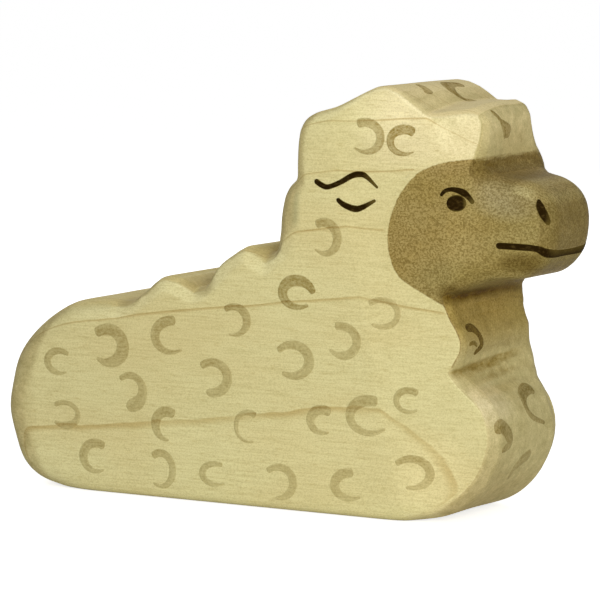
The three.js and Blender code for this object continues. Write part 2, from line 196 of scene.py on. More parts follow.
places = points_of(body.data) / MM
x, y, z = places.T
ahead = np.maximum(x - (EASED_FROM - EASED_LEAN * z), 0)
most = EASED_MOST_CHEST + (EASED_MOST_HEAD - EASED_MOST_CHEST) * ramp(z, *HEAD_LEVEL)
eased = BOARD_SIDE - most * (1 - np.exp(-EASED_SLOPE * ahead / most))
places[:, 1] = np.clip(y, -eased, eased)
foot = 1 - ramp(z, *FOOT_END_Z)
rump = 1 - ramp(x, *RUMP_END_X)
nape = (1 - ramp(x, *NAPE_END_X)) * ramp(z, *NAPE_START_Z)
muzzle = ramp(x, *MUZZLE_START_X) * ramp(z, *MUZZLE_START_Z) * (1 - ramp(z, *MUZZLE_END_Z))
rounded = np.max([foot, rump, nape, muzzle], axis=0)
places = neighbour_mean(body.data, places, LIGHT_SANDING)
places = neighbour_mean(body.data, places, WELL_SANDING, rounded)
put_points(body.data, places * MM)
normals = points_of(body.data, "normal")
temple = ramp(x, *TEMPLE_START_X) * (1 - ramp(x, *TEMPLE_END_X)) * ramp(z, *TEMPLE_START_Z)
temple = temple * ramp(np.abs(y), *TEMPLE_START_Y)
temple = temple * (1 - ramp(normals[:, 2], *TEMPLE_TURNS_UP))
places = neighbour_mean(body.data, places, LONG_SANDING, temple)
lean = ramp(x, *LEAN_START_X) * (1 - ramp(x, *LEAN_END_X)) * ramp(z, *LEAN_START_Z)
lean = lean * ramp(-y, *LEAN_START_Y)
places[:, 2] -= CROWN_LEAN * lean
put_points(body.data, places * MM)
normals = points_of(body.data, "normal")
for at_x, at_z, size, height, left_only in TOUCHES:
    near = np.exp(-((places[:, 0] - at_x) ** 2 + (places[:, 2] - at_z) ** 2) / size**2)
    near = near * ramp(places[:, 1], *TOUCHED_LEFT_Y) if left_only else near
    places = places + normals * (1, 0, 1) * (height * near)[:, None]
places[:, 2] = np.maximum(places[:, 2], 0)
put_points(body.data, places * MM)

# How deep each point lies in a crease, where shade is painted and where dust and finish gather
normals = points_of(body.data, "normal")
x, y, z = places.T
hollow = 0
for passes, depth in (NARROW_CREASE, BROAD_CREASE):
    levelled = neighbour_mean(body.data, places, passes)
    hollow = hollow + ((levelled - places) * normals).sum(1) / depth / 2
hollow = hollow * (1 - ramp(z, *CREASES_END_Z)) * ramp(x, *CREASES_START_X)
# the groove between neck and breast: painted shade and dirt, darker towards the right
groove = np.exp(-(((z - GROOVE_LEVEL) / GROOVE_SPREAD) ** 2)) * ramp(normals[:, 0], *GROOVE_FACING)
darkest_spot = np.exp(-(((y - GROOVE_DARKEST[0]) / GROOVE_DARKEST[1]) ** 2))
groove_shade_and_dirt = GROOVE_DARK * ramp(-y, *GROOVE_RIGHT_Y) + GROOVE_DARK * darkest_spot
hollow = hollow * (1 - GROOVE_TAKES_OVER * groove) + groove * groove_shade_and_dirt
hollow = hollow * (1 - BROW_LESS_DARK * ramp(z, *BROW_START_Z) * ramp(y, *BROW_FAR_Y))
neck_rim = (1 - ramp(normals[:, 0], *NECK_RIM_FACING)) * ramp(x, *NECK_RIM_START_X)
neck_rim = neck_rim * ramp(z, *NECK_RIM_START_Z) * (1 - ramp(z, *NECK_RIM_END_Z))
hollow = hollow * (1 - NECK_RIM_LESS_DARK * neck_rim)
point_values(body.data, "hollow", hollow)

shade_smooth(body.data)
lighter = body.modifiers.new("fewer faces", "DECIMATE")
lighter.ratio = SHARE_OF_FACES
settle(body)
places = points_of(body.data) / MM
wave = np.array([noise.noise(Vector(p / HAND_WAVE_LENGTH)) for p in places])
wave = wave * ramp(places[:, 2], *HAND_WAVE_START_Z)
places = places + points_of(body.data, "normal") * (HAND_WAVE * wave)[:, None]
put_points(body.data, places * MM)
normals = points_of(body.data, "normal")

# The board's own figure: the growth rings round a heart that lay beside the right face
HEART_SIDE = -114.0  # the heart's place across the board
HEART_UP = 2.0
HEART_RISE = 0.125  # rise of the grain for each millimetre forwards
FIRST_RING = 101.0
RING_STEP = 4.15
RING_WAVER = 0.35
LATE_LINE = 0.72  # the thin line that ends a ring
LATE_LINE_STARTS = (0.95, 0.988)
LATE_LINE_ENDS = (0.992, 1.0)
LATE_WOOD = 0.16  # the shade before it
LATE_WOOD_POWER = 16.0
RINGS_SEEN = [("Z", 2.0, 6.0), ("X", 41.0, 33.0, 0.5, 1.0)]  # fainter at the ground and towards the front
# Its textures: stretch along, across and up, for each millimetre, then detail and roughness. Under each are
# the steps between its values that show on the wood
RING_WANDER = ((0.06, 0.12, 0.12), 3.0)
RING_BREAK = ((0.08, 0.4, 0.4), 3.0)
RING_BROKEN = (0.3, 0.62, 0.6, 1.0)
FIBRE = ((0.16, 3.2, 3.2), 3.0, 0.6)
FIBRE_DARK = (0.35, 0.72)
FIBRE_ROUGH = (0.2, 0.8, 0.76, 0.92)
FLECK = ((0.55, 4.6, 4.6), 2.0)
FLECK_DARK = (0.58, 0.74)
FLECK_HEIGHT = -0.5
CLOUD = ((0.03, 0.07, 0.07), 3.0)
CLOUD_WARM = (0.36, 0.66)
DUST = ((3.4, 4.2, 4.2), 2.0, 0.7)
DUST_DARK = (0.4, 0.7)
DUST_HEIGHT = 0.4
MOTTLE = ((0.45, 0.45, 0.45), 4.0, 0.65)
MOTTLE_HIGH = (0.5, 0.66)
MOTTLE_LOW = (0.5, 0.36)
PORE = ((1.5, 1.7, 1.7), 4.0, 0.8)
PORE_DARK = (0.44, 0.64, 0.0, 0.5)
BLOTCH = ((0.55, 0.5, 0.7), 3.0, 0.7)
BLOTCH_DARK = (0.34, 0.6, 0.6, 1.12)
# Its tones: the wood, and what multiplies it
WOOD_PALE = (0.715, 0.648, 0.325, 1)
WOOD_WARM = (0.695, 0.608, 0.295, 1)
FORELOCK_SIDE_HIGHLIGHT = (0.785, 0.685, 0.375, 1)  # painted highlight on the side of the forelock, which turns towards the light
WOOD_HEART = (1.05, 1.065, 1.09, 1)  # the paler wood inside the first ring
HEART_EDGE = 0.1
FIBRE_TONE = (0.89, 0.875, 0.83, 1)
FLECK_BROWN = (0.8, 0.74, 0.62, 1)
FLECK_STRENGTH = 0.55
RING_BROWN = (0.72, 0.62, 0.46, 1)
DUST_TONE = (0.84, 0.82, 0.77, 1)
# darker faces across the board: end grain that drinks in finish, and painted shade
END_GRAIN_AND_SHADE_TONE = (0.8, 0.765, 0.71, 1)
MOTTLE_PALE = (1.13, 1.13, 1.17, 1)
MOTTLE_DARK = (0.88, 0.87, 0.82, 1)
# painted shade in the creases, with the dust and finish that gather there
HOLLOW_TONE = (0.55, 0.47, 0.28, 1)
HOLLOW_DARK = (0.15, 1.0)
# Its zones: a coordinate or a way of facing, where the zone begins and where it is full
END_GRAIN_AND_SHADE_FACING = (0.42, 0.64)
# where faces count as more across the board, for both the end grain's tone and the painted shade
END_GRAIN_AND_SHADE_ZONES = [
    [("Z", 40.0, 36.0, 0.0, 0.22)],  # below the head
    [("X", -40.0, -46.0, 0.0, 0.28)],  # on the rump
    [("X", 16.0, 10.0, 0.0, 0.32), ("Z", 44.0, 48.0)],  # on the nape
]
# where the highlight on the forelock's side is painted
FORELOCK_SIDE_ZONE = [("X", 16.0, 27.0), ("Z", 55.0, 62.0)]
UPPER_EDGE_HIGHLIGHT = (1.1, 1.12, 1.18, 1)  # painted highlight on the upper edges of the sides, where they turn up
UPPER_EDGE_FACING = [("Z", 0.05, 0.3), ("Z", 0.75, 0.5)]
UPPER_EDGE_ALONG = [("X", -40.0, -32.0)]
FRONT_EDGE_HIGHLIGHT = (1.06, 1.06, 1.12, 1)  # painted highlight on the rounded edges of the breast and the neck
FRONT_EDGE_STARTS = (0.2, 0.4)
FRONT_EDGE_ENDS = (0.985, 0.95)
FRONT_EDGE_AHEAD = ("X", 0.15, 0.3)
FRONT_EDGE_BELOW = ("Z", 40.0, 36.0)
# painted shade on the nape, which turns away from the light
NAPE_SHADE = (0.66, 0.68, 0.66, 1)
NAPE_EDGE = [("X", 8.8, 7.2), ("Z", 46.5, 49.5), ("Z", 55.0, 53.0)]
# painted shade on faces that look up, warmer and darker in green and blue
UP_FACING_SHADE = (1.02, 0.96, 0.84, 1)
TOP_FACING = ("Z", 0.6, 0.9)
# painted highlight on the faces of the crown that look up
CROWN_TOP_HIGHLIGHT = (1.12, 1.15, 1.24, 1)
CROWN_UP = ("Z", 58.0, 64.0)
# Its patches: middle along and up, length and height
# painted highlight low on the front end of the sides
CORNER_HIGHLIGHT = (1.09, 1.08, 1.1, 1)
CORNER = ((33.5, 7.5), 9.0, 9.0)
# painted highlight high on the side of the forelock
FORELOCK_TOP_HIGHLIGHT = (1.14, 1.15, 1.2, 1)
FORELOCK_SIDE = ((24.0, 66.5), 9.0, 5.0)
TEMPLE_TONE = (0.92, 0.9, 0.87, 1)
TEMPLE = ((38.0, 61.0), 5.0, 7.0)
# painted highlight on the rounded edge of the breast on the right side
BREAST_HIGHLIGHT = (1.22, 1.22, 1.42, 1)
BREAST = ((41.2, 20.5), 4.5, 4.8)
BREAST_RIGHT = ("Y", -2.0, -8.0)
BREAST_FACING = ("X", 0.35, 0.6)
# painted highlight on the upper front of the forelock
FORELOCK_FRONT_HIGHLIGHT = (1.22, 1.22, 1.32, 1)
FORELOCK_FRONT = ((38.3, 64.5), 3.2, 4.2)
FORELOCK_FACING = ("X", 0.55, 0.8)
# painted shade in the notches of the back
NOTCH_SHADE = (0.74, 0.71, 0.64, 1)
NOTCHES = [((-26.3, 33.8), 3.4, 2.0), ((-10.6, 36.9), 3.0, 2.4), ((1.2, 43.8), 3.8, 2.4)]  # in the back
NOTCH_FACING = ("Z", 0.12, 0.3)
PORE_DEPTH = 0.06
PORE_BUMP = 0.25
WOOD_SHEEN = 0.2


def add(tree, kind, inputs=None, **settings):
    """A node with its settings, whose inputs are values or the sockets that feed them."""
    made = tree.nodes.new(kind)
    for name, value in settings.items():
        setattr(made, name, value)
    for key, value in (inputs or {}).items():
        if isinstance(value, bpy.types.NodeSocket):
            tree.links.new(value, made.inputs[key])
        else:
            made.inputs[key].default_value = value
    return made


def work_out(tree, operation, *values, clamp=False):
    inputs = dict(enumerate(values))
    return add(tree, "ShaderNodeMath", inputs, operation=operation, use_clamp=clamp).outputs[0]


def times(tree, first, *others):
    for other in others:
        first = work_out(tree, "MULTIPLY", first, other)
    return first


def parts_of(tree, vector):
    return add(tree, "ShaderNodeSeparateXYZ", {0: vector}).outputs


def attribute(tree, name):
    return add(tree, "ShaderNodeAttribute", attribute_name=name).outputs["Fac"]


def soft_step(tree, value, low, high, bottom=0.0, top=1.0):
    inputs = {"Value": value, "From Min": low, "From Max": high, "To Min": bottom, "To Max": top}
    return add(tree, "ShaderNodeMapRange", inputs, interpolation_type="SMOOTHSTEP").outputs[0]


def zone(tree, parts, *steps):
    """1 inside a zone and 0 outside it, by soft steps of the parts of a place or a direction."""
    return times(tree, *(soft_step(tree, parts[axis], *step) for axis, *step in steps))


def patch(tree, spot, middle, length, height):
    """1 in the middle of a soft oval place on the sides, 0 outside it."""
    ahead = work_out(tree, "DIVIDE", work_out(tree, "SUBTRACT", spot["X"], middle[0]), length)
    up = work_out(tree, "DIVIDE", work_out(tree, "SUBTRACT", spot["Z"], middle[1]), height)
    squares = work_out(tree, "MULTIPLY_ADD", ahead, ahead, times(tree, up, up))
    return soft_step(tree, squares, 1.0, 0.0)


def speckle(tree, place, stretch, detail=2.0, rough=0.5):
    """Noise at a stretched place, about 0 to 1."""
    at = add(tree, "ShaderNodeVectorMath", {0: place, 1: stretch}, operation="MULTIPLY").outputs[0]
    inputs = {"Vector": at, "Scale": 1.0, "Detail": detail, "Roughness": rough}
    return add(tree, "ShaderNodeTexNoise", inputs).outputs[0]


def drawn(tree, place, texture, step):
    """What a texture draws, by a step between its values."""
    return soft_step(tree, speckle(tree, place, *texture), *step)


def tinted(tree, colour, tint, amount):
    """A colour times a tint, which darkens it as a thin glaze does, or pales it where it is above 1."""
    mixed = add(tree, "ShaderNodeMix", data_type="RGBA", blend_type="MULTIPLY", clamp_factor=True)
    for key, value in (("Factor_Float", amount), ("A_Color", colour), ("B_Color", tint)):
        socket = next(s for s in mixed.inputs if s.identifier == key)
        if isinstance(value, bpy.types.NodeSocket):
            tree.links.new(value, socket)
        else:
            socket.default_value = value
    return next(s for s in mixed.outputs if s.identifier == "Result_Color")


def glazed(tree, colour, layers):
    """A colour under several tints, each with its amount, in the order in which they lie on it."""
    for tint, amount in layers:
        colour = tinted(tree, colour, tint, amount)
    return colour


def blended(tree, first, second, amount):
    mixed = tinted(tree, first, second, amount)
    mixed.node.blend_type = "MIX"
    return mixed


grain = bpy.data.node_groups.new("pale_board_grain", "ShaderNodeTree")
grain.interface.new_socket("Rings", in_out="INPUT", socket_type="NodeSocketFloat").default_value = 1.0
for name, kind in (("Colour", "Color"), ("Roughness", "Float"), ("Height", "Float"), ("Place", "Vector")):
    grain.interface.new_socket(name, in_out="OUTPUT", socket_type=f"NodeSocket{kind}")
here = add(grain, "ShaderNodeTexCoord").outputs
inputs = {0: here["Object"], "Scale": 1 / MM}
place = add(grain, "ShaderNodeVectorMath", inputs, operation="SCALE").outputs[0]
spot = parts_of(grain, place)
turned = parts_of(grain, here["Normal"])

# Growth rings, a thin late line at the end of each
sideways = work_out(grain, "SUBTRACT", spot["Y"], HEART_SIDE)
rise = work_out(grain, "MULTIPLY_ADD", spot["X"], HEART_RISE, HEART_UP)
upwards = work_out(grain, "SUBTRACT", spot["Z"], rise)
squares = work_out(grain, "MULTIPLY_ADD", sideways, sideways, times(grain, upwards, upwards))
radius = work_out(grain, "SQRT", squares)
waver = work_out(grain, "SUBTRACT", speckle(grain, place, *RING_WANDER), 0.5)
radius = work_out(grain, "MULTIPLY_ADD", waver, RING_WAVER, radius)
ring = work_out(grain, "DIVIDE", work_out(grain, "SUBTRACT", radius, FIRST_RING), RING_STEP)
ring = work_out(grain, "FRACT", ring)
late_line = soft_step(grain, ring, *LATE_LINE_STARTS)
late_line = times(grain, late_line, soft_step(grain, ring, *LATE_LINE_ENDS, 1.0, 0.0))
late_wood = work_out(grain, "POWER", ring, LATE_WOOD_POWER)
rings = work_out(grain, "MULTIPLY_ADD", late_wood, LATE_WOOD, times(grain, late_line, LATE_LINE))
rings = work_out(grain, "MULTIPLY", rings, drawn(grain, place, RING_BREAK, RING_BROKEN), clamp=True)
rings = times(grain, rings, zone(grain, spot, *RINGS_SEEN), add(grain, "NodeGroupInput").outputs["Rings"])

# Fibres along the board, the short dark flecks between them, and the textures of the sawn faces
fibre = speckle(grain, place, *FIBRE)
fleck = drawn(grain, place, FLECK, FLECK_DARK)
dust = speckle(grain, place, *DUST)
mottle = speckle(grain, place, *MOTTLE)

# Faces across the board are darker, partly because end grain drinks in more of the finish and partly as
# painted shade, most of all low down, on the rump and on the nape
across_grain = work_out(grain, "ABSOLUTE", turned["X"])
for steps in END_GRAIN_AND_SHADE_ZONES:
    across_grain = work_out(grain, "ADD", across_grain, zone(grain, spot, *steps))
end_grain_and_shade = soft_step(grain, across_grain, *END_GRAIN_AND_SHADE_FACING)
off_end_grain_and_shade = work_out(grain, "SUBTRACT", 1.0, end_grain_and_shade)
# painted highlight on the forelock's side
forelock_side_highlight = times(grain, zone(grain, spot, *FORELOCK_SIDE_ZONE), off_end_grain_and_shade)
upper_edge_highlight = times(grain, zone(grain, turned, *UPPER_EDGE_FACING), zone(grain, spot, *UPPER_EDGE_ALONG), off_end_grain_and_shade)
to_side = work_out(grain, "ABSOLUTE", turned["Y"])
front_edge_highlight = soft_step(grain, to_side, *FRONT_EDGE_STARTS)
front_edge_highlight = times(grain, front_edge_highlight, soft_step(grain, to_side, *FRONT_EDGE_ENDS))
front_edge_highlight = times(grain, front_edge_highlight, zone(grain, turned, FRONT_EDGE_AHEAD))
front_edge_highlight = times(grain, front_edge_highlight, zone(grain, spot, FRONT_EDGE_BELOW))
breast = times(grain, patch(grain, spot, *BREAST), zone(grain, spot, BREAST_RIGHT))
breast = times(grain, breast, zone(grain, turned, BREAST_FACING))
forelock = times(grain, patch(grain, spot, *FORELOCK_FRONT), zone(grain, turned, FORELOCK_FACING))
nape_edge = times(grain, zone(grain, spot, *NAPE_EDGE), off_end_grain_and_shade)
top = zone(grain, turned, TOP_FACING)
in_notch = times(grain, zone(grain, turned, NOTCH_FACING), off_end_grain_and_shade)
# painted shade in the creases, with their dust and finish, broken up in blotches
crease = soft_step(grain, attribute(grain, "hollow"), *HOLLOW_DARK)
crease = work_out(grain, "MULTIPLY", crease, drawn(grain, place, BLOTCH, BLOTCH_DARK), clamp=True)

colour = blended(grain, WOOD_PALE, WOOD_WARM, drawn(grain, place, CLOUD, CLOUD_WARM))
colour = blended(grain, colour, FORELOCK_SIDE_HIGHLIGHT, forelock_side_highlight)
layers = [
    (WOOD_HEART, soft_step(grain, radius, FIRST_RING + HEART_EDGE, FIRST_RING - HEART_EDGE)),
    (CORNER_HIGHLIGHT, patch(grain, spot, *CORNER)),
    (FORELOCK_TOP_HIGHLIGHT, patch(grain, spot, *FORELOCK_SIDE)),
    (TEMPLE_TONE, patch(grain, spot, *TEMPLE)),
    (FIBRE_TONE, soft_step(grain, fibre, *FIBRE_DARK)),
    (FLECK_BROWN, times(grain, fleck, FLECK_STRENGTH)),
    (RING_BROWN, rings),
    (DUST_TONE, soft_step(grain, dust, *DUST_DARK)),
    (END_GRAIN_AND_SHADE_TONE, end_grain_and_shade),
    (MOTTLE_PALE, times(grain, end_grain_and_shade, soft_step(grain, mottle, *MOTTLE_HIGH))),
    (MOTTLE_DARK, times(grain, end_grain_and_shade, soft_step(grain, mottle, *MOTTLE_LOW))),
    (MOTTLE_DARK, times(grain, end_grain_and_shade, drawn(grain, place, PORE, PORE_DARK))),
    (UPPER_EDGE_HIGHLIGHT, upper_edge_highlight),
    (FRONT_EDGE_HIGHLIGHT, front_edge_highlight),
    (BREAST_HIGHLIGHT, breast),
    (FORELOCK_FRONT_HIGHLIGHT, forelock),
    (NAPE_SHADE, nape_edge),
    (UP_FACING_SHADE, top),
    (CROWN_TOP_HIGHLIGHT, times(grain, top, zone(grain, spot, CROWN_UP))),
]
layers += [(NOTCH_SHADE, times(grain, patch(grain, spot, *row), in_notch)) for row in NOTCHES]
layers += [(HOLLOW_TONE, crease)]
colour = glazed(grain, colour, layers)

height = work_out(grain, "MULTIPLY_ADD", dust, DUST_HEIGHT, fibre)
height = work_out(grain, "MULTIPLY_ADD", fleck, FLECK_HEIGHT, height)
rough = soft_step(grain, fibre, *FIBRE_ROUGH)
add(grain, "NodeGroupOutput", {"Colour": colour, "Roughness": rough, "Height": height, "Place": place})


def finish_of(name, rings=1.0):
    """A material with the board's grain under it, and the shader that the finish ends in."""
    material = bpy.data.materials.new(name)
    material.use_nodes = True
    tree = material.node_tree
    shader = next(n for n in tree.nodes if n.type == "BSDF_PRINCIPLED")
    wood = add(tree, "ShaderNodeGroup", {"Rings": rings}, node_tree=grain).outputs
    inputs = {"Height": wood["Height"], "Strength": PORE_BUMP, "Distance": PORE_DEPTH * MM}
    bump = add(tree, "ShaderNodeBump", inputs)
    tree.links.new(bump.outputs[0], shader.inputs["Normal"])
    tree.links.new(wood["Roughness"], shader.inputs["Roughness"])
    shader.inputs["Specular IOR Level"].default_value = WOOD_SHEEN
    return material, tree, wood, shader


bare_wood, tree, wood, shader = finish_of("bare_pale_wood")
tree.links.new(wood["Colour"], shader.inputs["Base Color"])
body.data.materials.clear()
body.data.materials.append(bare_wood)
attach(body, "root")
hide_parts("wooden_body")

# Face stain
# A thin grey-brown stain brushed over both cheeks, the muzzle and the brow and down into the throat. It
# sinks into the wood, so the grain shows. It ends crisp on the cheeks and streaky on the brow, and fades
# out on the neck.
NOSE_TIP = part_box("wooden_body")[1].x / MM
CROWN_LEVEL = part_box("wooden_body")[1].z / MM - 0.1  # just under its highest point
# Its edge on the cheek, from the tip of the nose and the level of the crown
STAIN_EDGE = [
    (-11, -10.9),
    (-17.5, -11.9),
    (-22.2, -14.2),
    (-25.7, -19.2),
    (-26.8, -24.8),
    (-25.1, -30.1),
    (-20.4, -33.1),
    (-15, -35.7),
]
STAIN_EDGE_STEPS = 60
STAIN_AHEAD = 30.0  # how far past the nose its outline is closed
STAIN_MARGIN = 1.8  # bare rim of the film, which dips under the wood
STAIN_FILM = 0.025
STAIN_BURIED = 0.06
STAIN_DIPS = (-0.8 * STAIN_MARGIN, -0.3 * STAIN_MARGIN)
NECK_TOP = 38.0
NECK_TURN = (0.52, 3)  # how far the neck's wood must face forwards, and how fast the stain then starts
NECK_FILM_ENDS = 26.0
NECK_FADE = (22.0, 19.0)  # the level where the stain would run out on the neck, and the height of the fade
NECK_END = (25.5, 29.0)
CHEEK_LIFT = 8.0  # the fade keeps off the cheeks and the jaw
FRONT_FACING = ("X", 0.6, 0.85)
BROW_UP = ("Z", 53.0, 56.0)
CHEEK_SOFTNESS = 0.12
BROW_SOFTNESS = 0.4
RAGGED = ((1.6, 1.6, 1.6), 3.0)
RAGGED_REACH = 0.3
BRISTLES = ((0.8, 0.3, 2.2), 4.0, 0.75)
BRISTLES_BARE = 0.56
BRISTLES_REACH = 5.0
STAIN_DOTS = ((2.7, 3.2, 3.2), 3.0, 0.7)
DOTS_DARK = (0.4, 0.62)
STAIN_CLOUD = ((0.12, 0.2, 0.2), 3.0)
CLOUD_THIN = (0.3, 0.7, 0.86, 1.0)
STAIN_STREAKS = ((0.6, 0.5, 1.7), 4.0, 0.75)
STREAKS_DARK = (0.4, 0.62)
STAIN_TINT = (0.525, 0.435, 0.27, 1)
STAIN_DEEP_AND_JAW_SHADE = (0.83, 0.85, 0.83, 1)  # darker towards the nose, where more of it ran, and painted shade under the jaw
DEEP_AHEAD = ("X", 34.0, 46.0)
UNDER_JAW = ((40.0, 40.0), 14.0, 5.0)
# paler and bluer on the ridge: the stain rubbed thin there, and a painted highlight
RIDGE_WEAR_AND_HIGHLIGHT = (0.99, 1.03, 1.37, 1)
EYE_NOSTRIL_RIDGE = ((44.8, 54.2), 7.0, 5.2)  # between the eye and the nostril
# a darker patch just under the mouth
UNDER_MOUTH_DARKER = (0.55, 0.5, 0.37, 1)
UNDER_MOUTH = ((46.6, 43.1), 5.0, 2.1)
# painted highlight on the faces of the muzzle that turn up
MUZZLE_TOP_HIGHLIGHT = (1.55, 1.65, 1.82, 1)
MUZZLE_TOP = ((48.4, 54.8), 4.6, 3.4)
MUZZLE_FACING = ("Z", 0.25, 0.55)
JAW_CREASE_SHADE = (0.58, 0.53, 0.4, 1)
JAW_END = ((35.0, 37.8), 2.2, 2.4)  # painted shade at the end of the crease under the jaw
# painted light on the lower lip, as from light thrown up by the floor
LOWER_LIP_BOUNCE_LIGHT = (1.5, 1.65, 1.9, 1)
LOWER_LIP = ((50.0, 42.3), 2.6, 2.8)
THROAT_TONE = (1.0, 0.93, 0.66, 1)
THROAT = [("Z", 27.0, 33.0), ("Z", 43.0, 40.0)]
STAIN_POOLED = (1.16, 1.12, 0.6, 1)  # where it dried in the brow crease and the throat
POOLED_HOLLOW = (0.2, 0.9)
STAIN_BRUSHED = (0.76, 0.72, 0.56, 1)  # the brush's streaks along the creases
DRIED_EDGE = (3.2, 0.8)
DRIED = [("X", 38.0, 39.6), ("Z", 53.0, 56.0), ("Y", 2.0, -8.0, 0.35, 1.0)]
STAIN_DOT = (0.4, 0.34, 0.2, 1)
STAIN_DOT_STRENGTH = 0.68
STAINED_RINGS = 0.25
STAIN_SHEEN = 0.06
STAIN_SMOOTHS = 0.26  # how much smoother than bare wood it dries


def smooth_path(points, shares):
    """Places at the given shares of a smooth curve through points."""
    points = np.array(points, float)
    before = np.vstack([2 * points[0] - points[1], points[:-1]])
    after = np.vstack([points[1:], 2 * points[-1] - points[-2]])
    slope = (after - before) / 2
    spots = np.asarray(shares) * (len(points) - 1)
    start = np.minimum(spots.astype(int), len(points) - 2)
    t = (spots - start)[:, None]
    a, b, m, n = points[start], points[start + 1], slope[start], slope[start + 1]
    leaving = (2 * t**3 - 3 * t**2 + 1) * a + (t**3 - 2 * t**2 + t) * m
    return leaving + (3 * t**2 - 2 * t**3) * b + (t**3 - t**2) * n


def reach_inside(spots, outline):
    """Distance of flat places to an outline, above 0 inside it. The last two corners close it far away."""
    a, b = outline, np.roll(outline, -1, 0)
    inside = np.zeros(len(spots), bool)
    nearest = np.full(len(spots), np.inf)
    for k, (p, q) in enumerate(zip(a, b)):
        crosses = (p[1] > spots[:, 1]) != (q[1] > spots[:, 1])
        with np.errstate(divide="ignore", invalid="ignore"):
            at = p[0] + (spots[:, 1] - p[1]) * (q[0] - p[0]) / (q[1] - p[1])
        inside ^= crosses & (spots[:, 0] < at)
        if k < len(a) - 3 or k == len(a) - 1:
            run = q - p
            t = np.clip((spots - p) @ run / (run @ run), 0, 1)
            nearest = np.minimum(nearest, np.linalg.norm(spots - p - t[:, None] * run, axis=1))
    return np.where(inside, nearest, -nearest)


edge = smooth_path(STAIN_EDGE, np.linspace(0, 1, STAIN_EDGE_STEPS)) + (NOSE_TIP, CROWN_LEVEL)
front_corners = [(NOSE_TIP + STAIN_AHEAD, edge[-1][1]), (NOSE_TIP + STAIN_AHEAD, edge[0][1])]
reach = reach_inside(places[:, [0, 2]], np.vstack([edge, front_corners]))
neck = np.minimum((normals[:, 0] - NECK_TURN[0]) * NECK_TURN[1], NECK_TOP - places[:, 2])
reach = np.maximum(reach, np.minimum(neck, places[:, 2] - NECK_FILM_ENDS))
point_values(body.data, "stain_reach", reach)
lift = STAIN_FILM - STAIN_BURIED * (1 - ramp(reach, *STAIN_DIPS))
film = body.data.copy()
film.name = "face_stain_film"
put_points(film, (places + normals * lift[:, None]) * MM)
skin = bmesh.new()
skin.from_mesh(film)
bare = [v for v, inside in zip(skin.verts, reach) if inside < -STAIN_MARGIN]
bmesh.ops.delete(skin, geom=bare, context="VERTS")
loose = [v for v in skin.verts if not v.link_faces]
bmesh.ops.delete(skin, geom=loose, context="VERTS")
skin.to_mesh(film)
skin.free()
stain = blank_object("face_stain_film", film)
sunk = stain.modifiers.new("sunk into the wood", "SOLIDIFY")
sunk.thickness = STAIN_BURIED * MM
sunk.offset = -1
settle(stain)

stained, tree, wood, shader = finish_of("brushed_face_stain", STAINED_RINGS)
place = wood["Place"]
spot = parts_of(tree, place)
turned = parts_of(tree, add(tree, "ShaderNodeTexCoord").outputs["Normal"])
from_edge = attribute(tree, "stain_reach")
on_front = zone(tree, turned, FRONT_FACING)
off_front = work_out(tree, "SUBTRACT", 1.0, on_front)
on_brow = times(tree, on_front, zone(tree, spot, BROW_UP))

# How much of it covers each place
bristles = work_out(tree, "SUBTRACT", speckle(tree, place, *BRISTLES), BRISTLES_BARE)
ragged = work_out(tree, "SUBTRACT", speckle(tree, place, *RAGGED), 0.5)
ragged = work_out(tree, "MULTIPLY_ADD", times(tree, on_brow, bristles), BRISTLES_REACH, ragged)
softness = work_out(tree, "MULTIPLY_ADD", on_brow, BROW_SOFTNESS, CHEEK_SOFTNESS)
cover = work_out(tree, "MULTIPLY_ADD", ragged, RAGGED_REACH, from_edge)
cover = soft_step(tree, work_out(tree, "DIVIDE", cover, softness), -1.0, 1.0)
neck_level = work_out(tree, "MULTIPLY_ADD", off_front, CHEEK_LIFT, spot["Z"])
fade = work_out(tree, "SUBTRACT", neck_level, NECK_FADE[0])
fade = work_out(tree, "DIVIDE", fade, NECK_FADE[1], clamp=True)
cover = times(tree, cover, fade, soft_step(tree, neck_level, *NECK_END))

thin = drawn(tree, place, STAIN_CLOUD, CLOUD_THIN)
dots = drawn(tree, place, STAIN_DOTS, DOTS_DARK)
streaks = drawn(tree, place, STAIN_STREAKS, STREAKS_DARK)
deep_and_jaw_shade = work_out(tree, "MAXIMUM", zone(tree, spot, DEEP_AHEAD), patch(tree, spot, *UNDER_JAW))
pooled = soft_step(tree, attribute(tree, "hollow"), *POOLED_HOLLOW)
dried = times(tree, soft_step(tree, from_edge, *DRIED_EDGE), zone(tree, spot, *DRIED), cover)
streaky = times(tree, work_out(tree, "MAXIMUM", pooled, dried), streaks)
layers = [
    (STAIN_TINT, times(tree, cover, thin)),
    (STAIN_DEEP_AND_JAW_SHADE, times(tree, cover, deep_and_jaw_shade)),
    (RIDGE_WEAR_AND_HIGHLIGHT, patch(tree, spot, *EYE_NOSTRIL_RIDGE)),
    (UNDER_MOUTH_DARKER, patch(tree, spot, *UNDER_MOUTH)),
    (MUZZLE_TOP_HIGHLIGHT, times(tree, patch(tree, spot, *MUZZLE_TOP), zone(tree, turned, MUZZLE_FACING))),
    (JAW_CREASE_SHADE, patch(tree, spot, *JAW_END)),
    (LOWER_LIP_BOUNCE_LIGHT, patch(tree, spot, *LOWER_LIP)),
    (THROAT_TONE, times(tree, on_front, zone(tree, spot, *THROAT))),
    (STAIN_POOLED, times(tree, cover, pooled)),
    (STAIN_BRUSHED, streaky),
    (STAIN_DOT, times(tree, cover, dots, STAIN_DOT_STRENGTH)),
]
tree.links.new(glazed(tree, wood["Colour"], layers), shader.inputs["Base Color"])
shader.inputs["Specular IOR Level"].default_value = STAIN_SHEEN
tree.links.new(work_out(tree, "SUBTRACT", wood["Roughness"], STAIN_SMOOTHS), shader.inputs["Roughness"])
stain.data.materials.clear()
stain.data.materials.append(stained)
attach(stain, "root")
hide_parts("face_stain")

